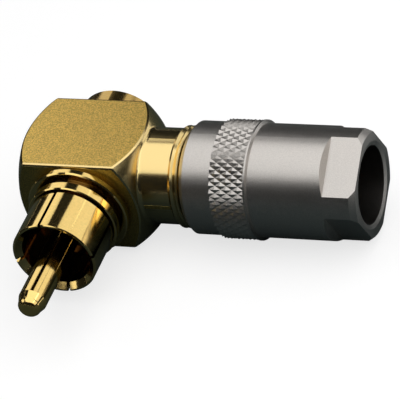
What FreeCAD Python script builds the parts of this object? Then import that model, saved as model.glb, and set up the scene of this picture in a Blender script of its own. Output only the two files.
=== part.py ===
import FreeCAD, Part
import math
import os

# Right-angle phono plug: a square elbow with turned ends carries a slotted contact shell and
# a split centre pin on its front, a screw cap on its back, and a knurled cable sleeve on its neck.
# The origin is on the plug axis, in the plane of the shell's rim. The pin points along -Y, the
# cable leaves along +X, and +Z is up. All sizes are in millimetres.

# Clearances
THREAD_CLEARANCE = 0.05
SEAT_CLEARANCE = 0.03
TURNING_CLEARANCE = 0.06
END_PLAY = 0.05

# How far a cutter runs past what it cuts
PAST = 1.0

# Elbow: a square bar with a domed end, a rounded shoulder and a threaded neck
BLOCK_SIDE = 11.8
BLOCK_LEFT = 5.65
BLOCK_RIGHT = 5.1
BLOCK_EDGE_ROUND = 0.3
ARRIS_BREAK = 0.14
DOME_RADIUS = 13.7
DOME_FLAT_RADIUS = 3.2
SHOULDER_RADIUS = 12.0
NECK_RADIUS = 5.4
NECK_FILLET = 0.55
NECK_LENGTH = 11.8
NECK_BORE_RADIUS = 3.9
CROSS_BORE_RADIUS = 4.25
MOUTH_DEPTH = 1.2
MOUTH_RADIUS = 5.05
MOUTH_SLOPE = 0.6

# Thread on the neck
NECK_THREAD_LENGTH = 6.2
NECK_THREAD_RADIUS = 5.75
NECK_THREAD_DEPTH = 0.3
NECK_THREAD_PITCH = 0.65
NECK_THREAD_RIDGES = 4

# Contact shell
RIM_TO_BLOCK = 8.7
SHELL_RADIUS = 4.86
SHELL_WALL = 0.9
SHELL_SLIT_LENGTH = 5.5
SHELL_SLIT_WIDTH = 0.36
SHELL_SLITS = 4
SHELL_SLIT_ANGLE = 7.0
SHELL_RIM_BREAK = 0.1
SHELL_LEAD_IN = 0.6
GROOVE_WIDTH = 0.28
GROOVE_DEPTH = 0.35
COLLAR_RADIUS = 5.22
COLLAR_LENGTH = 1.15
COLLAR_BREAK = 0.12
RECESS_RADIUS = 4.7
RECESS_LENGTH = 0.65
FLANGE_RADIUS = 5.85
FLANGE_LENGTH = 0.85
FLANGE_BREAK = 0.15
WASHER_RADIUS = 5.3
TAIL_LENGTH = 3.6

# Insulators inside the shell
INSULATOR_RADIUS = 3.4
INSULATOR_FACE = 6.0
REAR_INSULATOR_LENGTH = 1.5

# Centre pin
PIN_RADIUS = 1.6
PIN_STRAIGHT = 6.8
PIN_CONE_LENGTH = 0.8
PIN_CONE_RADIUS = 1.33
PIN_NOSE_ROUND = 0.8
PIN_SLIT_WIDTH = 0.3
PIN_SLIT_DEPTH = 8.6
PIN_SLIT_ANGLE = 77.0
PIN_STEM_RADIUS = 1.4
PIN_STEM_START = 5.6
PIN_SHOULDER_RADIUS = 2.2
PIN_SHOULDER_LENGTH = 1.0
CUP_LENGTH = 3.4
CUP_RADIUS = 1.8
CUP_BORE_RADIUS = 1.25
CUP_BORE_DEPTH = 2.8
CUP_SCOOP_LENGTH = 1.7
CUP_SCOOP_OFFSET = 0.3

# Screw cap on the back
CAP_RADIUS = 5.0
CAP_HEAD_LENGTH = 2.65
CAP_BREAK = 0.4
CAP_SPIGOT_LENGTH = 3.2
CAP_HOLLOW_RADIUS = 3.4
CAP_HOLLOW_DEPTH = 2.9
CAP_SLOT_WIDTH = 1.2
CAP_SLOT_DEPTH = 1.1
CAP_DISC_LENGTH = 1.2
CAP_SEAL_LENGTH = 0.3
CAP_SEAL_WIDTH = 0.55

# Cable sleeve
THREAD_OVERLAP = 4.7
SLEEVE_LENGTH = 20.45
SLEEVE_RADIUS = 6.33
SLEEVE_FRONT_CHAMFER = 0.5
SLEEVE_BORE_RADIUS = 4.35
SLEEVE_LIP_WIDTH = 0.5
SLEEVE_LIP_DEPTH = 0.2
SLEEVE_BEVEL_WIDTH = 0.45
SLEEVE_BEVEL_LENGTH = 0.65
SLEEVE_SHOULDER = 8.05
CHAMBER_RADIUS = 5.1
KNURL_START = 3.8
KNURL_LENGTH = 4.0
KNURL_RADIUS = 6.67
KNURL_FLOOR = 0.1
KNURL_ROWS = 6
KNURL_COLUMNS = 96
RIM_BAND_STEP = 0.03
RIM_BAND_LENGTH = 0.2
RIM_BAND_SLOPE = 0.15
FLATS = 4
FLAT_DISTANCE = 5.3
FLAT_LENGTH = 3.65
FLAT_RUNOUT = 0.4
FLAT_ANGLE = 29.5

# Cable clamp inside the sleeve
COLLET_BORE_RADIUS = 4.1
COLLET_NOSE_GAP = 0.1
COLLET_NOSE_LENGTH = 0.8
COLLET_SLOTS = 6
COLLET_SLOT_WIDTH = 0.7
COLLET_BAND_LENGTH = 2.4
THRUST_RING_LENGTH = 1.0
THRUST_RING_BORE = 4.6

# Places that follow from the sizes
V = FreeCAD.Vector
HALF = BLOCK_SIDE / 2
BARREL_Y = RIM_TO_BLOCK + HALF
BLOCK_BACK = RIM_TO_BLOCK + BLOCK_SIDE
CORNER_RADIUS = BLOCK_SIDE / math.sqrt(2)
NECK_END = BLOCK_RIGHT + NECK_LENGTH
SHELL_BORE_RADIUS = SHELL_RADIUS - SHELL_WALL
GROOVE_END = SHELL_SLIT_LENGTH + GROOVE_WIDTH
COLLAR_END = GROOVE_END + COLLAR_LENGTH
FLANGE_START = COLLAR_END + RECESS_LENGTH
FLANGE_END = FLANGE_START + FLANGE_LENGTH
TAIL_RADIUS = CROSS_BORE_RADIUS - THREAD_CLEARANCE
TAIL_END = FLANGE_END + TAIL_LENGTH
REAR_INSULATOR_START = TAIL_END - REAR_INSULATOR_LENGTH
PIN_SHOULDER_END = REAR_INSULATOR_START - END_PLAY
PIN_SHOULDER_START = PIN_SHOULDER_END - PIN_SHOULDER_LENGTH
CUP_END = TAIL_END + CUP_LENGTH
CAP_SEAT = BLOCK_BACK + CAP_SEAL_LENGTH
CAP_TOP = CAP_SEAT + CAP_HEAD_LENGTH
SPIGOT_RADIUS = CROSS_BORE_RADIUS - THREAD_CLEARANCE
SPIGOT_END = CAP_SEAT - CAP_SPIGOT_LENGTH
SLEEVE_START = NECK_END - THREAD_OVERLAP
SLEEVE_END = SLEEVE_START + SLEEVE_LENGTH
SLEEVE_THREAD_RADIUS = NECK_THREAD_RADIUS + THREAD_CLEARANCE
SHOULDER_PLACE = SLEEVE_END - SLEEVE_SHOULDER
KNURL_PLACE = SLEEVE_START + KNURL_START
THRUST_RING_END = SHOULDER_PLACE - END_PLAY
THRUST_RING_START = THRUST_RING_END - THRUST_RING_LENGTH
COLLET_RADIUS = CHAMBER_RADIUS - TURNING_CLEARANCE


def chain(points, place):
    """Edges through points (along, radius). A third item is the middle of an arc to that point."""
    edges = []
    last = points[-1]
    for point in points:
        start = place(last[0], last[1])
        end = place(point[0], point[1])
        if len(point) == 3:
            edges.append(Part.Arc(start, place(*point[2]), end).toShape())
        else:
            edges.append(Part.LineSegment(start, end).toShape())
        last = point
    return Part.Wire(edges)


def turned_on_barrel(points):
    """A solid turned about the barrel axis, from its half outline."""
    wire = chain(points, lambda x, r: V(x, BARREL_Y, r))
    return Part.Face(wire).revolve(V(0, BARREL_Y, 0), V(1, 0, 0), 360)


def turned_on_plug(points):
    """A solid turned about the plug axis, from its half outline."""
    wire = chain(points, lambda y, r: V(0, y, r))
    return Part.Face(wire).revolve(V(0, 0, 0), V(0, 1, 0), 360)


def arc_middle(centre, radius, start, end):
    """The middle of the shorter arc about a centre on or off the axis."""
    mean_x = (start[0] + end[0]) / 2 - centre[0]
    mean_r = (start[1] + end[1]) / 2 - centre[1]
    size = math.hypot(mean_x, mean_r)
    return (centre[0] + mean_x * radius / size, centre[1] + mean_r * radius / size)


def on_sphere(centre_x, radius, r, side):
    """The point of a sphere on the barrel axis at the distance r from that axis."""
    return (centre_x + side * math.sqrt(radius ** 2 - r ** 2), r)


def neck_thread(start):
    """Outline points of the neck's thread: ridges up to the sleeve, plain at full size inside it."""
    root = NECK_THREAD_RADIUS - NECK_THREAD_DEPTH
    points = [(start, root)]
    for turn in range(NECK_THREAD_RIDGES):
        x = start + turn * NECK_THREAD_PITCH
        points.append((x + NECK_THREAD_PITCH / 2, NECK_THREAD_RADIUS))
        points.append((x + NECK_THREAD_PITCH, root))
    points.append((x + NECK_THREAD_PITCH * 3 / 2, NECK_THREAD_RADIUS))
    points.append((NECK_END, NECK_THREAD_RADIUS))
    return points


def turned_elbow():
    """The turned form that the square bar is cut to: dome, shoulder, neck and thread."""
    oversize = CORNER_RADIUS + PAST / 2
    dome_x = -BLOCK_LEFT + math.sqrt(DOME_RADIUS ** 2 - CORNER_RADIUS ** 2)
    dome_low = on_sphere(dome_x, DOME_RADIUS, DOME_FLAT_RADIUS, -1)
    dome_high = on_sphere(dome_x, DOME_RADIUS, oversize, -1)
    dome_middle = arc_middle((dome_x, 0), DOME_RADIUS, dome_low, dome_high)

    shoulder_x = BLOCK_RIGHT - math.sqrt(SHOULDER_RADIUS ** 2 - CORNER_RADIUS ** 2)
    shoulder_high = on_sphere(shoulder_x, SHOULDER_RADIUS, oversize, 1)
    fillet_r = NECK_RADIUS + NECK_FILLET
    fillet_reach = SHOULDER_RADIUS + NECK_FILLET
    fillet = on_sphere(shoulder_x, fillet_reach, fillet_r, 1)
    share = SHOULDER_RADIUS / fillet_reach
    shoulder_low = (shoulder_x + (fillet[0] - shoulder_x) * share, fillet_r * share)
    shoulder_middle = arc_middle((shoulder_x, 0), SHOULDER_RADIUS, shoulder_high, shoulder_low)
    neck_start = (fillet[0], NECK_RADIUS)
    fillet_middle = arc_middle(fillet, NECK_FILLET, shoulder_low, neck_start)

    thread_start = NECK_END - NECK_THREAD_LENGTH
    outline = [(dome_low[0], 0), dome_low, (*dome_high, dome_middle), shoulder_high]
    outline += [(*shoulder_low, shoulder_middle), (*neck_start, fillet_middle)]
    outline += [(thread_start, NECK_RADIUS)] + neck_thread(thread_start)
    outline += [(NECK_END, 0)]
    return turned_on_barrel(outline)


def square_bar():
    """The square bar, long enough for the whole elbow, with its long edges rounded."""
    length = BLOCK_LEFT + DOME_RADIUS + BLOCK_RIGHT + SHOULDER_RADIUS
    bar = Part.makeBox(length, BLOCK_SIDE, BLOCK_SIDE, V(-BLOCK_LEFT - DOME_RADIUS, RIM_TO_BLOCK, -HALF))
    long_edges = [edge for edge in bar.Edges if abs(edge.Length - length) < 1e-6]
    return bar.makeFillet(BLOCK_EDGE_ROUND, long_edges)


def is_arris(edge):
    """True for the curves where the turned ends meet the flat sides and round edges of the bar."""
    if edge.Curve.TypeId == "Part::GeomCircle":
        centre = edge.Curve.Center
        return math.hypot(centre.y - BARREL_Y, centre.z) > HALF / 2
    return edge.Curve.TypeId != "Part::GeomLine"


def elbow_body():
    """The one-piece elbow: square block, neck, cross bore, barrel bore and clamp mouth."""
    body = turned_elbow().common(square_bar())
    arrises = [edge for edge in body.Edges if is_arris(edge)]
    body = body.makeChamfer(ARRIS_BREAK, arrises)
    cross_bore = Part.makeCylinder(
        CROSS_BORE_RADIUS, BLOCK_SIDE + PAST * 2, V(0, RIM_TO_BLOCK - PAST, 0), V(0, 1, 0)
    )
    barrel_bore = turned_on_barrel([
        (0, 0),
        (0, NECK_BORE_RADIUS),
        (NECK_END - MOUTH_DEPTH, NECK_BORE_RADIUS),
        (NECK_END - MOUTH_DEPTH, MOUTH_RADIUS - MOUTH_DEPTH * MOUTH_SLOPE),
        (NECK_END, MOUTH_RADIUS),
        (NECK_END + PAST, MOUTH_RADIUS),
        (NECK_END + PAST, 0),
    ])
    return body.cut(cross_bore.fuse(barrel_bore)).removeSplitter()


def slit(width, start, length, reach, angle):
    """A cutter for a slit along the plug axis, from the axis outwards at an angle from +X."""
    cutter = Part.makeBox(reach, length, width, V(0, start, -width / 2))
    cutter.rotate(V(0, 0, 0), V(0, 1, 0), -angle)
    return cutter


def plug_shell():
    """The contact shell: four spring tongues, groove, collar, recess, flange and threaded tail."""
    shell = turned_on_plug([
        (0, SHELL_BORE_RADIUS + SHELL_LEAD_IN),
        (0, SHELL_RADIUS - SHELL_RIM_BREAK),
        (SHELL_RIM_BREAK, SHELL_RADIUS),
        (SHELL_SLIT_LENGTH, SHELL_RADIUS),
        (SHELL_SLIT_LENGTH, SHELL_RADIUS - GROOVE_DEPTH),
        (GROOVE_END, SHELL_RADIUS - GROOVE_DEPTH),
        (GROOVE_END, COLLAR_RADIUS - COLLAR_BREAK),
        (GROOVE_END + COLLAR_BREAK, COLLAR_RADIUS),
        (COLLAR_END - COLLAR_BREAK, COLLAR_RADIUS),
        (COLLAR_END, COLLAR_RADIUS - COLLAR_BREAK),
        (COLLAR_END, RECESS_RADIUS),
        (FLANGE_START, RECESS_RADIUS),
        (FLANGE_START, FLANGE_RADIUS - FLANGE_BREAK),
        (FLANGE_START + FLANGE_BREAK, FLANGE_RADIUS),
        (FLANGE_END - FLANGE_BREAK, FLANGE_RADIUS),
        (FLANGE_END, FLANGE_RADIUS - FLANGE_BREAK),
        (FLANGE_END, TAIL_RADIUS),
        (TAIL_END, TAIL_RADIUS),
        (TAIL_END, INSULATOR_RADIUS + SEAT_CLEARANCE),
        (INSULATOR_FACE, INSULATOR_RADIUS + SEAT_CLEARANCE),
        (INSULATOR_FACE, SHELL_BORE_RADIUS),
        (SHELL_LEAD_IN, SHELL_BORE_RADIUS),
    ])
    cut_length = SHELL_SLIT_LENGTH + PAST
    for number in range(SHELL_SLITS):
        angle = SHELL_SLIT_ANGLE + number * 360 / SHELL_SLITS
        shell = shell.cut(slit(SHELL_SLIT_WIDTH, -PAST, cut_length, SHELL_RADIUS + PAST, angle))
    return shell


def flange_washer():
    """The flat washer between the shell's flange and the front of the block."""
    return turned_on_plug([
        (FLANGE_END, CROSS_BORE_RADIUS),
        (FLANGE_END, WASHER_RADIUS),
        (RIM_TO_BLOCK, WASHER_RADIUS),
        (RIM_TO_BLOCK, CROSS_BORE_RADIUS),
    ])


def front_insulator():
    """The insulator that centres the pin, with a pocket for the pin's shoulder at its back."""
    hole = PIN_STEM_RADIUS + SEAT_CLEARANCE
    pocket = PIN_SHOULDER_RADIUS + SEAT_CLEARANCE
    return turned_on_plug([
        (INSULATOR_FACE, hole),
        (INSULATOR_FACE, INSULATOR_RADIUS),
        (REAR_INSULATOR_START, INSULATOR_RADIUS),
        (REAR_INSULATOR_START, pocket),
        (PIN_SHOULDER_START, pocket),
        (PIN_SHOULDER_START, hole),
    ])


def rear_insulator():
    """The insulating ring that holds the pin's shoulder in its pocket."""
    hole = CUP_RADIUS + SEAT_CLEARANCE
    return turned_on_plug([
        (REAR_INSULATOR_START, hole),
        (REAR_INSULATOR_START, INSULATOR_RADIUS),
        (TAIL_END, INSULATOR_RADIUS),
        (TAIL_END, hole),
    ])


def center_pin():
    """The split centre pin, with a tapered round nose, a shoulder and a solder cup."""
    cone_end = -PIN_STRAIGHT - PIN_CONE_LENGTH
    tip = (cone_end - PIN_NOSE_ROUND, PIN_CONE_RADIUS - PIN_NOSE_ROUND)
    nose_middle = arc_middle((cone_end, tip[1]), PIN_NOSE_ROUND, tip, (cone_end, PIN_CONE_RADIUS))
    pin = turned_on_plug([
        (tip[0], 0),
        tip,
        (cone_end, PIN_CONE_RADIUS, nose_middle),
        (-PIN_STRAIGHT, PIN_RADIUS),
        (PIN_STEM_START, PIN_RADIUS),
        (PIN_STEM_START, PIN_STEM_RADIUS),
        (PIN_SHOULDER_START, PIN_STEM_RADIUS),
        (PIN_SHOULDER_START, PIN_SHOULDER_RADIUS),
        (PIN_SHOULDER_END, PIN_SHOULDER_RADIUS),
        (PIN_SHOULDER_END, CUP_RADIUS),
        (CUP_END, CUP_RADIUS),
        (CUP_END, CUP_BORE_RADIUS),
        (CUP_END - CUP_BORE_DEPTH, CUP_BORE_RADIUS),
        (CUP_END - CUP_BORE_DEPTH, 0),
    ])
    for side in (0, 180):
        angle = PIN_SLIT_ANGLE + side
        pin = pin.cut(slit(PIN_SLIT_WIDTH, -PIN_STRAIGHT, PIN_SLIT_DEPTH, PIN_RADIUS + PAST, angle))
    scoop = Part.makeBox(
        CUP_RADIUS * 2, CUP_SCOOP_LENGTH + PAST, CUP_RADIUS * 4,
        V(CUP_SCOOP_OFFSET, CUP_END - CUP_SCOOP_LENGTH, -CUP_RADIUS * 2),
    )
    return pin.cut(scoop)


def access_cap():
    """The screw cap: broken-edged head, hollow threaded spigot and a driver slot."""
    cap = turned_on_plug([
        (SPIGOT_END, CAP_HOLLOW_RADIUS),
        (SPIGOT_END, SPIGOT_RADIUS),
        (CAP_SEAT, SPIGOT_RADIUS),
        (CAP_SEAT, CAP_RADIUS),
        (CAP_TOP - CAP_BREAK, CAP_RADIUS),
        (CAP_TOP, CAP_RADIUS - CAP_BREAK),
        (CAP_TOP, 0),
        (SPIGOT_END + CAP_HOLLOW_DEPTH, 0),
        (SPIGOT_END + CAP_HOLLOW_DEPTH, CAP_HOLLOW_RADIUS),
    ])
    slot = Part.makeBox(
        (CAP_RADIUS + PAST) * 2, CAP_SLOT_DEPTH + PAST, CAP_SLOT_WIDTH,
        V(-CAP_RADIUS - PAST, CAP_TOP - CAP_SLOT_DEPTH, -CAP_SLOT_WIDTH / 2),
    )
    return cap.cut(slot)


def cap_disc():
    """The insulating disc in the cap's hollow, which keeps the solder cup clear of the metal."""
    top = SPIGOT_END + CAP_HOLLOW_DEPTH - END_PLAY
    return Part.makeCylinder(
        CAP_HOLLOW_RADIUS - TURNING_CLEARANCE, CAP_DISC_LENGTH, V(0, top - CAP_DISC_LENGTH, 0), V(0, 1, 0)
    )


def cap_seal():
    """The flat ring that the cap's head closes on."""
    return turned_on_plug([
        (BLOCK_BACK, CROSS_BORE_RADIUS),
        (BLOCK_BACK, CROSS_BORE_RADIUS + CAP_SEAL_WIDTH),
        (CAP_SEAT - END_PLAY, CROSS_BORE_RADIUS + CAP_SEAL_WIDTH),
        (CAP_SEAT - END_PLAY, CROSS_BORE_RADIUS),
    ])


def flat_cutter(angle):
    """A cutter for one wrench flat, with a sloped run-out at its inner end."""
    start = SLEEVE_END - FLAT_LENGTH
    high = SLEEVE_RADIUS + PAST
    slope = FLAT_RUNOUT / (SLEEVE_RADIUS - FLAT_DISTANCE)
    corners = [
        V(start, -high, FLAT_DISTANCE),
        V(SLEEVE_END + PAST, -high, FLAT_DISTANCE),
        V(SLEEVE_END + PAST, -high, high),
        V(start - slope * (high - FLAT_DISTANCE), -high, high),
    ]
    cutter = Part.Face(Part.makePolygon(corners + corners[:1])).extrude(V(0, high * 2, 0))
    cutter.translate(V(0, BARREL_Y, 0))
    cutter.rotate(V(0, BARREL_Y, 0), V(1, 0, 0), angle)
    return cutter


def knurl_point(row, column):
    """A corner of the knurl: corners are peaks and valleys by turns, round and along the band."""
    angle = 2 * math.pi * column / KNURL_COLUMNS
    radius = KNURL_RADIUS if (row + column) % 2 else SLEEVE_RADIUS + KNURL_FLOOR
    x = KNURL_PLACE + row * KNURL_LENGTH / KNURL_ROWS
    return V(x, BARREL_Y + radius * math.cos(angle), radius * math.sin(angle))


def flat_face(points):
    """A flat face with straight edges through the points."""
    return Part.Face(Part.makePolygon(points + points[:1]))


def knurl_cell(row, column):
    """The two facets between four neighbouring corners, which meet along the valley."""
    near = knurl_point(row, column)
    near_next = knurl_point(row, column + 1)
    far = knurl_point(row + 1, column)
    far_next = knurl_point(row + 1, column + 1)
    if (row + column) % 2:
        return [flat_face([near, near_next, far]), flat_face([near_next, far_next, far])]
    return [flat_face([near, near_next, far_next]), flat_face([near, far_next, far])]


def knurl_band():
    """The grip band: pointed diamonds, each two rows long and two columns wide, on a ring."""
    faces = []
    for row in range(KNURL_ROWS):
        for column in range(KNURL_COLUMNS):
            faces += knurl_cell(row, column)
    for row in (0, KNURL_ROWS):
        faces.append(flat_face([knurl_point(row, column) for column in range(KNURL_COLUMNS)]))
    band = Part.makeSolid(Part.makeShell(faces))
    inside = (SLEEVE_RADIUS + SLEEVE_THREAD_RADIUS) / 2
    core = Part.makeCylinder(
        inside, KNURL_LENGTH + PAST * 2, V(KNURL_PLACE - PAST, BARREL_Y, 0), V(1, 0, 0)
    )
    return band.cut(core)


def cable_sleeve():
    """The screwed sleeve: knurled grip, wrench flats, cable bore and chamber for the clamp."""
    rim_start = KNURL_PLACE + KNURL_LENGTH
    rim_end = rim_start + RIM_BAND_LENGTH
    rim_radius = KNURL_RADIUS + RIM_BAND_STEP
    sleeve = turned_on_barrel([
        (SLEEVE_START, SLEEVE_THREAD_RADIUS),
        (SLEEVE_START, SLEEVE_RADIUS - SLEEVE_FRONT_CHAMFER),
        (SLEEVE_START + SLEEVE_FRONT_CHAMFER, SLEEVE_RADIUS),
        (rim_start, SLEEVE_RADIUS),
        (rim_start, rim_radius),
        (rim_end, rim_radius),
        (rim_end + RIM_BAND_SLOPE, SLEEVE_RADIUS),
        (SLEEVE_END - SLEEVE_BEVEL_LENGTH, SLEEVE_RADIUS),
        (SLEEVE_END, SLEEVE_RADIUS - SLEEVE_BEVEL_WIDTH),
        (SLEEVE_END, SLEEVE_BORE_RADIUS + SLEEVE_LIP_WIDTH),
        (SLEEVE_END - SLEEVE_LIP_DEPTH, SLEEVE_BORE_RADIUS),
        (SHOULDER_PLACE, SLEEVE_BORE_RADIUS),
        (SHOULDER_PLACE, CHAMBER_RADIUS),
        (NECK_END + END_PLAY, CHAMBER_RADIUS),
        (NECK_END + END_PLAY, SLEEVE_THREAD_RADIUS),
    ]).fuse(knurl_band())
    for number in range(FLATS):
        sleeve = sleeve.cut(flat_cutter(FLAT_ANGLE + number * 360 / FLATS))
    return sleeve


def cable_collet():
    """The slotted clamp that the sleeve drives into the neck's mouth, round the cable."""
    mouth_gap = COLLET_NOSE_GAP * math.hypot(1, MOUTH_SLOPE)
    nose = NECK_END - COLLET_NOSE_LENGTH
    nose_radius = MOUTH_RADIUS - COLLET_NOSE_LENGTH * MOUTH_SLOPE - mouth_gap
    shoulder = nose + (COLLET_RADIUS - nose_radius) / MOUTH_SLOPE
    collet = turned_on_barrel([
        (nose, COLLET_BORE_RADIUS),
        (nose, nose_radius),
        (shoulder, COLLET_RADIUS),
        (THRUST_RING_START, COLLET_RADIUS),
        (THRUST_RING_START, COLLET_BORE_RADIUS),
    ])
    slots_end = THRUST_RING_START - COLLET_BAND_LENGTH
    for number in range(COLLET_SLOTS):
        cutter = Part.makeBox(
            slots_end - nose + PAST, COLLET_SLOT_WIDTH, COLLET_RADIUS + PAST,
            V(nose - PAST, BARREL_Y - COLLET_SLOT_WIDTH / 2, 0),
        )
        cutter.rotate(V(0, BARREL_Y, 0), V(1, 0, 0), number * 360 / COLLET_SLOTS)
        collet = collet.cut(cutter)
    return collet


def thrust_ring():
    """The ring between the clamp and the sleeve's inner shoulder, on which the sleeve turns."""
    return turned_on_barrel([
        (THRUST_RING_START, THRUST_RING_BORE),
        (THRUST_RING_START, COLLET_RADIUS),
        (THRUST_RING_END, COLLET_RADIUS),
        (THRUST_RING_END, THRUST_RING_BORE),
    ])


NODES = {
    "elbow_body": elbow_body,
    "plug_shell": plug_shell,
    "flange_washer": flange_washer,
    "front_insulator": front_insulator,
    "rear_insulator": rear_insulator,
    "center_pin": center_pin,
    "access_cap": access_cap,
    "cap_disc": cap_disc,
    "cap_seal": cap_seal,
    "cable_sleeve": cable_sleeve,
    "cable_collet": cable_collet,
    "thrust_ring": thrust_ring,
}

os.makedirs("parts", exist_ok=True)
for name, build in NODES.items():
    shape = build()
    shape.exportStep("parts/" + name + ".step")
    print(name, shape.isValid(), len(shape.Solids), round(shape.Volume, 2))
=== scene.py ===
import math

import bpy
from mathutils import Matrix, Vector


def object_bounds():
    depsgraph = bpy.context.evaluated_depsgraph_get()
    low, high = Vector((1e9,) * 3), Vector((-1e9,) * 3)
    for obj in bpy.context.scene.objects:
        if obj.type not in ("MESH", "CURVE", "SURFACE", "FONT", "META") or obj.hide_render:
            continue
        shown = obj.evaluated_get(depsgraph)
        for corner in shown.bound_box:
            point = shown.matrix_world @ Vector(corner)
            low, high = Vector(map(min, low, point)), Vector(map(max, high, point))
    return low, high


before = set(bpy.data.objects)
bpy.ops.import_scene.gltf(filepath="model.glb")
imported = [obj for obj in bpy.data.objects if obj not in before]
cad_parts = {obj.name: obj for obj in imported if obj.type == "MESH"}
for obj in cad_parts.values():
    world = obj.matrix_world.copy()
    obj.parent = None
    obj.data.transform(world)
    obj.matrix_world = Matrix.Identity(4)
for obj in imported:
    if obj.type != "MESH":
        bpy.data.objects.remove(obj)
cad_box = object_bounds()

MM = 0.001

# Camera, fitted to the photograph
CAMERA_PLACE = (143.5, -228.5, 215.4)
CAMERA_RIGHT = (0.9263, 0.3106, -0.2134)
CAMERA_BACK = (0.3741, -0.6893, 0.6205)
SENSOR = 36.0
LENS = 283.5
CLIP_START = 0.01
CLIP_END = 20

# Floor: its colour, and how bright it is by itself where it is seen directly or in a reflection
FLOOR_CORNERS = ((-3000, -3000), (3000, -3000), (3000, 3000), (-3000, 3000))
FLOOR_GAP = 0.1
FLOOR_COLOUR = (0.36, 0.36, 0.36, 1)
FLOOR_GLOW = 0.73

# Between these distances from the object, in metres, the glow rises to full white
FLOOR_FADE = (0.1, 0.7)

# Dark card on the floor, which shows only in reflections and keeps the undersides dark
CARD_GAP = 0.05
CARD_CORNERS = ((-900, -900), (900, -900), (900, 5), (46, 5), (46, 900), (-900, 900))
CARD_COLOUR = (0.022, 0.036, 0.038, 1)

# Roughness of the floor and the card
MATTE = 0.9

# Level softbox overhead: left, right, front and back edge, height, radiance
OVERHEAD = (-128, 260, -192, 147, 200, 1.25)

# Lamps that face the object: name, azimuth, elevation, distance, width, height, radiance
LAMPS = (
    ("back_softbox", 71.5, 45, 220, 92, 54, 0.95),
    ("back_right_softbox", 51, 20.5, 220, 108, 142, 0.95),
    ("back_left_softbox", 131.5, 31, 220, 77, 110, 1.0),
    ("left_softbox", -165, 32, 220, 151, 80, 1.1),
    ("right_softbox", -8, 32, 220, 233, 130, 1.0),
)
WORLD_COLOUR = (0.012, 0.013, 0.014, 1)

# Metals: two colours that mix in patches, roughness, its variation, grain size, depth, specks
METALS = {
    "satin_gold": ((0.77, 0.52, 0.125), (0.73, 0.49, 0.13), 0.33, 0.08, 0.15, 0.03, 0.28),
    "shell_gold": ((0.94, 0.68, 0.24), (0.91, 0.63, 0.21), 0.10, 0.02, 0.3, 0.001, 0.03),
    "polished_gold": ((0.94, 0.68, 0.24), (0.91, 0.63, 0.21), 0.10, 0.02, 0.3, 0.001, 0.03),
    "cap_gold": ((0.60, 0.40, 0.13), (0.56, 0.37, 0.12), 0.17, 0.03, 0.3, 0.001, 0.04),
    "bare_brass": ((0.72, 0.56, 0.26), (0.68, 0.50, 0.22), 0.28, 0.05, 0.2, 0.004, 0.05),
    "satin_nickel": ((0.57, 0.535, 0.50), (0.55, 0.525, 0.495), 0.33, 0.05, 0.12, 0.014, 0.06),
}
PATCH_SIZE = 3.0
SPECK_RANGE = (0.38, 0.62)

# Plastics: grain size, its depth and strength, and how far the roughness varies
PLASTIC_GRAIN = 0.2
PLASTIC_DEPTH = 0.01
PLASTIC_STRENGTH = 0.6
PLASTIC_VARIATION = 0.08

# Axes of the barrel and the shell: the directions square to each, and a point on it in metres
BARREL_Y = 14.6
BARREL_AXIS = ((0, 1, 1), (0, BARREL_Y * MM, 0))
SHELL_AXIS = ((1, 0, 1), (0, 0, 0))

# Elbow: a normal that belongs to a flat side, and the look of the turned surfaces
FLAT_NORMAL = 0.999
TURNED_ROUGHNESS = 0.17
TURNED_COLOUR = (0.82, 0.62, 0.27, 1)

# Elbow: painted shade, for dark reflections: the colour is multiplied by these factors between
# these parts of the normal
ELBOW_PAINTED_SHADE = (0.55, 0.64, 0.8)
ELBOW_LOW = (0.1, 0.52)
ELBOW_FORWARD = (-0.55, 0.1)

# Neck thread: its start, the end of its modelled ridges, just under its radius, pitch, depth
THREAD_START = 10.7
THREAD_PLAIN = 13.6
THREAD_RADIUS = 5.7
THREAD_PITCH = 0.65
THREAD_DEPTH = 0.3

# Contact shell: painted shade in the bore and the grooves, and painted shade where it looks down
SHELL_RECESS_RADIUS = 4.74
SHELL_LEAD_IN = 0.65
SHELL_RECESS_PAINTED_SHADE = (0.22, 0.13, 0.05, 1)
SHELL_PAINTED_SHADE = (0.65, 0.72, 0.9)
SHELL_LOW = (0.2, 0.55)

# Cable sleeve: the painted shade in the bore, the length of the knurl and how far its facets are
# softened
SLEEVE_BORE_RADIUS = 4.38
SLEEVE_BORE_PAINTED_SHADE = (0.16, 0.15, 0.14, 1)
KNURL_START = 16.0
KNURL_END = 20.0
KNURL_SOFTNESS = 0.28


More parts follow.
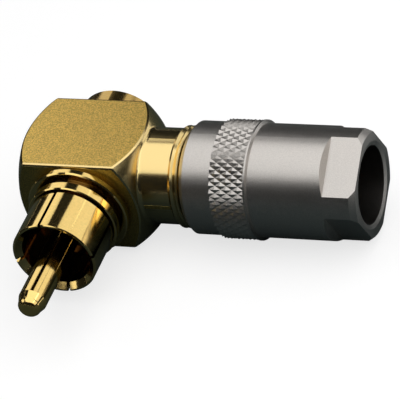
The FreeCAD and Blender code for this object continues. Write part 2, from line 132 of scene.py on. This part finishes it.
class Nodes:
    """A short way to build a material's node tree."""

    def __init__(self, name):
        self.material = bpy.data.materials.new(name)
        self.material.use_nodes = True
        self.tree = self.material.node_tree
        self.shader = self.tree.nodes["Principled BSDF"]
        self.place = self.add("ShaderNodeTexCoord")

    def add(self, kind, **values):
        node = self.tree.nodes.new(kind)
        for key, value in values.items():
            if key in node.inputs:
                node.inputs[key].default_value = value
            else:
                setattr(node, key, value)
        return node

    def link(self, source, target):
        self.tree.links.new(source, target)

    def feed(self, value, target):
        """Links a socket, or sets a plain value."""
        if isinstance(value, bpy.types.NodeSocket):
            self.link(value, target)
        else:
            target.default_value = value

    def set(self, name, value):
        """Links or sets an input of the shader."""
        self.feed(value, self.shader.inputs[name])

    def math(self, operation, first, second=0.0):
        node = self.add("ShaderNodeMath", operation=operation)
        self.feed(first, node.inputs[0])
        self.feed(second, node.inputs[1])
        return node.outputs["Value"]

    def vector(self, operation, first, second=(0, 0, 0), output="Vector"):
        node = self.add("ShaderNodeVectorMath", operation=operation)
        self.feed(first, node.inputs[0])
        self.feed(second, node.inputs[1])
        return node.outputs[output]

    def blend(self, factor, low, high, kind="FLOAT"):
        """Mixes two values, colours (RGBA) or vectors (VECTOR) by a factor."""
        node = self.add("ShaderNodeMix", data_type=kind)
        sockets = [item for item in node.inputs if item.enabled]
        self.feed(factor, sockets[0])
        self.feed(low, sockets[-2])
        self.feed(high, sockets[-1])
        return [item for item in node.outputs if item.enabled][0]

    def parts(self, vector):
        split = self.add("ShaderNodeSeparateXYZ")
        self.link(vector, split.inputs["Vector"])
        return [split.outputs[axis] for axis in "XYZ"]

    def spread(self, value, low, high, start=0.0, end=1.0):
        """Maps start..end to low..high."""
        node = self.add("ShaderNodeMapRange")
        self.link(value, node.inputs["Value"])
        node.inputs["From Min"].default_value = start
        node.inputs["From Max"].default_value = end
        node.inputs["To Min"].default_value = low
        node.inputs["To Max"].default_value = high
        return node.outputs["Result"]

    def noise(self, size, detail):
        node = self.add("ShaderNodeTexNoise", Scale=1 / (size * MM), Detail=detail, Roughness=0.6)
        self.link(self.place.outputs["Object"], node.inputs["Vector"])
        return node.outputs["Fac"]

    def across(self, mask, place):
        """How a point lies from an axis of the object, square to that axis."""
        offset = self.vector("SUBTRACT", self.place.outputs["Object"], place)
        return self.vector("MULTIPLY", offset, mask)

    def reach(self, mask, place):
        """How far a point lies from an axis of the object."""
        return self.vector("LENGTH", self.across(mask, place), output="Value")


class Metal(Nodes):
    """A metal with fine grain, specks, slight colour variation and uneven roughness."""

    def __init__(self, name):
        super().__init__(name)
        colour, patch, roughness, variation, grain, depth, specks = METALS[name]
        self.depth = depth
        self.fine = self.noise(grain, 3.0)
        self.height = self.fine
        self.roughness = self.spread(self.fine, roughness - variation, roughness + variation)
        speck = self.spread(self.noise(grain, 2.0), 1 - specks, 1 + specks, *SPECK_RANGE)
        mixed = self.blend(self.noise(PATCH_SIZE, 2.0), (*colour, 1), (*patch, 1), "RGBA")
        self.colour = self.vector("SCALE", mixed)
        self.link(speck, self.colour.node.inputs["Scale"])
        self.bump = self.add("ShaderNodeBump", Strength=1.0, Distance=depth * MM)

    def paint(self, mask, colour):
        """Gives the masked places another colour."""
        self.colour = self.blend(mask, self.colour, colour, "RGBA")

    def shade(self, mask, factors):
        """Multiplies the colour of the masked places, as painted shade."""
        self.paint(mask, self.vector("MULTIPLY", self.colour, factors))

    def finish(self):
        self.link(self.height, self.bump.inputs["Height"])
        self.set("Metallic", 1)
        self.set("Base Color", self.colour)
        self.set("Roughness", self.roughness)
        self.set("Normal", self.bump.outputs["Normal"])
        return self.material


def neck_thread(metal):
    """Ridges for the bump, on the stretch of the neck that has none of its own."""
    along = metal.parts(metal.place.outputs["Object"])[0]
    after = metal.math("GREATER_THAN", along, THREAD_PLAIN * MM)
    crest = metal.math("GREATER_THAN", metal.reach(*BARREL_AXIS), THREAD_RADIUS * MM)
    half_pitch = THREAD_PITCH / 2 * MM
    ridge = metal.math("PINGPONG", metal.math("SUBTRACT", along, THREAD_START * MM), half_pitch)
    ridge = metal.math("MULTIPLY", ridge, THREAD_DEPTH / metal.depth / half_pitch)
    return metal.math("MULTIPLY", ridge, metal.math("MULTIPLY", after, crest))


def elbow_metal():
    """Grain on the flat sides, smoother turned surfaces, painted shade for dark reflections where
    it looks forward and not up.
    """
    metal = Metal("satin_gold")
    y, z = metal.parts(metal.place.outputs["Normal"])[1:]
    side = metal.math("MAXIMUM", metal.math("ABSOLUTE", y), metal.math("ABSOLUTE", z))
    flat = metal.math("GREATER_THAN", side, FLAT_NORMAL)
    metal.height = metal.math("ADD", metal.math("MULTIPLY", metal.fine, flat), neck_thread(metal))
    metal.roughness = metal.blend(flat, TURNED_ROUGHNESS, metal.roughness)
    metal.colour = metal.blend(flat, TURNED_COLOUR, metal.colour, "RGBA")
    # Painted shade: the colour is darkened where the elbow looks forward and not up
    low = metal.spread(z, 1, 0, *ELBOW_LOW)
    forward = metal.spread(y, 1, 0, *ELBOW_FORWARD)
    metal.shade(metal.math("MULTIPLY", low, forward), ELBOW_PAINTED_SHADE)
    return metal.finish()


def shell_metal():
    """Polished gold, with painted shade in the bore and the grooves and where it looks down."""
    metal = Metal("shell_gold")
    # Painted shade: the colour is darkened where the shell looks down
    z = metal.parts(metal.place.outputs["Normal"])[2]
    metal.shade(metal.spread(z, 1, 0, *SHELL_LOW), SHELL_PAINTED_SHADE)
    # Painted shade in the bore and the grooves, behind the lead-in
    inside = metal.math("LESS_THAN", metal.reach(*SHELL_AXIS), SHELL_RECESS_RADIUS * MM)
    along = metal.parts(metal.place.outputs["Object"])[1]
    behind = metal.math("GREATER_THAN", along, SHELL_LEAD_IN * MM)
    metal.paint(metal.math("MULTIPLY", inside, behind), SHELL_RECESS_PAINTED_SHADE)
    return metal.finish()


def sleeve_metal():
    """Blasted nickel, with painted shade in the cable bore, and softened facets on the knurl."""
    metal = Metal("satin_nickel")
    # Painted shade in the cable bore
    inside = metal.math("LESS_THAN", metal.reach(*BARREL_AXIS), SLEEVE_BORE_RADIUS * MM)
    metal.paint(inside, SLEEVE_BORE_PAINTED_SHADE)
    along = metal.parts(metal.place.outputs["Object"])[0]
    after = metal.math("GREATER_THAN", along, KNURL_START * MM)
    before = metal.math("LESS_THAN", along, KNURL_END * MM)
    softness = metal.math("MULTIPLY", metal.math("MULTIPLY", after, before), KNURL_SOFTNESS)
    outward = metal.vector("NORMALIZE", metal.across(*BARREL_AXIS))
    normal = metal.blend(softness, metal.place.outputs["Normal"], outward, "VECTOR")
    turn = metal.add("ShaderNodeVectorTransform", vector_type="NORMAL")
    turn.convert_from = "OBJECT"
    turn.convert_to = "WORLD"
    metal.link(normal, turn.inputs["Vector"])
    metal.link(turn.outputs["Vector"], metal.bump.inputs["Normal"])
    return metal.finish()


def plastic(name, colour, roughness):
    nodes = Nodes(name)
    fine = nodes.noise(PLASTIC_GRAIN, 2.0)
    bump = nodes.add("ShaderNodeBump", Strength=PLASTIC_STRENGTH, Distance=PLASTIC_DEPTH * MM)
    nodes.link(fine, bump.inputs["Height"])
    smooth = roughness - PLASTIC_VARIATION
    rough = roughness + PLASTIC_VARIATION
    nodes.set("Base Color", (*colour, 1))
    nodes.set("Roughness", nodes.spread(fine, smooth, rough))
    nodes.set("Normal", bump.outputs["Normal"])
    return nodes.material


def dress(node, material):
    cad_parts[node].data.materials.clear()
    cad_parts[node].data.materials.append(material)


def area_lamp(name, width, height, radiance):
    """A softbox that is as bright as its radiance whatever its size."""
    data = bpy.data.lights.new(name, "AREA")
    data.shape = "RECTANGLE"
    data.size = width * MM
    data.size_y = height * MM
    data.energy = radiance * math.pi * data.size * data.size_y
    lamp = bpy.data.objects.new(name, data)
    bpy.context.scene.collection.objects.link(lamp)
    return lamp


def overhead_lamp(left, right, front, back, height, radiance):
    lamp = area_lamp("overhead_softbox", right - left, back - front, radiance)
    lamp.location = Vector(((left + right) / 2, (front + back) / 2, height)) * MM


def facing_lamp(name, azimuth, elevation, distance, width, height, radiance):
    lamp = area_lamp(name, width, height, radiance)
    turn = math.radians(azimuth)
    rise = math.radians(elevation)
    level = math.cos(rise)
    towards = Vector((level * math.cos(turn), level * math.sin(turn), math.sin(rise)))
    lamp.location = (cad_box[0] + cad_box[1]) / 2 + towards * distance * MM
    lamp.rotation_mode = "QUATERNION"
    lamp.rotation_quaternion = towards.to_track_quat("Z", "Y")


def make_camera():
    data = bpy.data.cameras.new("photo_camera")
    data.sensor_width = SENSOR
    data.lens = LENS
    data.clip_start = CLIP_START
    data.clip_end = CLIP_END
    camera = bpy.data.objects.new("photo_camera", data)
    back = Vector(CAMERA_BACK).normalized()
    right = (Vector(CAMERA_RIGHT) - back * back.dot(Vector(CAMERA_RIGHT))).normalized()
    up = back.cross(right)
    turn = Matrix((right, up, back)).transposed().to_4x4()
    camera.matrix_world = Matrix.Translation(Vector(CAMERA_PLACE) * MM) @ turn
    bpy.context.scene.collection.objects.link(camera)
    bpy.context.scene.camera = camera


def flat_sheet(name, corners, gap, material):
    """A level sheet just below the object."""
    z = cad_box[0].z - gap * MM
    data = bpy.data.meshes.new(name)
    data.from_pydata([(x * MM, y * MM, z) for x, y in corners], [], [range(len(corners))])
    data.materials.append(material)
    sheet = bpy.data.objects.new(name, data)
    bpy.context.scene.collection.objects.link(sheet)
    return sheet


def make_floor():
    nodes = Nodes("floor")
    path = nodes.add("ShaderNodeLightPath").outputs
    seen = nodes.math("MAXIMUM", path["Is Camera Ray"], path["Is Glossy Ray"])
    seen = nodes.math("MAXIMUM", seen, path["Is Transmission Ray"])
    distance = nodes.vector("LENGTH", nodes.place.outputs["Object"], output="Value")
    glow = nodes.spread(distance, FLOOR_GLOW, 1, *FLOOR_FADE)
    nodes.set("Base Color", FLOOR_COLOUR)
    nodes.set("Roughness", MATTE)
    nodes.set("Specular IOR Level", 0.0)
    nodes.set("Emission Color", (1, 1, 1, 1))
    nodes.set("Emission Strength", nodes.math("MULTIPLY", seen, glow))
    flat_sheet("floor", FLOOR_CORNERS, FLOOR_GAP, nodes.material)


def make_card():
    nodes = Nodes("dark_card")
    nodes.set("Base Color", CARD_COLOUR)
    nodes.set("Roughness", MATTE)
    card = flat_sheet("dark_card", CARD_CORNERS, CARD_GAP, nodes.material)
    card.visible_camera = False
    card.visible_shadow = False
    card.visible_diffuse = False


def make_world():
    world = bpy.data.worlds.new("studio")
    world.use_nodes = True
    world.node_tree.nodes["Background"].inputs["Color"].default_value = WORLD_COLOUR
    bpy.context.scene.world = world


polished_gold = Metal("polished_gold").finish()
bare_brass = Metal("bare_brass").finish()
insulator = plastic("insulator", (0.02, 0.02, 0.022), 0.45)
seal = plastic("seal", (0.015, 0.015, 0.015), 0.7)

MATERIALS = {
    "elbow_body": elbow_metal(),
    "plug_shell": shell_metal(),
    "flange_washer": polished_gold,
    "center_pin": polished_gold,
    "access_cap": Metal("cap_gold").finish(),
    "cable_sleeve": sleeve_metal(),
    "cable_collet": bare_brass,
    "thrust_ring": bare_brass,
    "front_insulator": insulator,
    "rear_insulator": insulator,
    "cap_disc": insulator,
    "cap_seal": seal,
}
for node, material in MATERIALS.items():
    dress(node, material)

make_camera()
make_floor()
make_card()
make_world()
overhead_lamp(*OVERHEAD)
for lamp in LAMPS:
    facing_lamp(*lamp)
bpy.context.scene.view_settings.view_transform = "Standard"
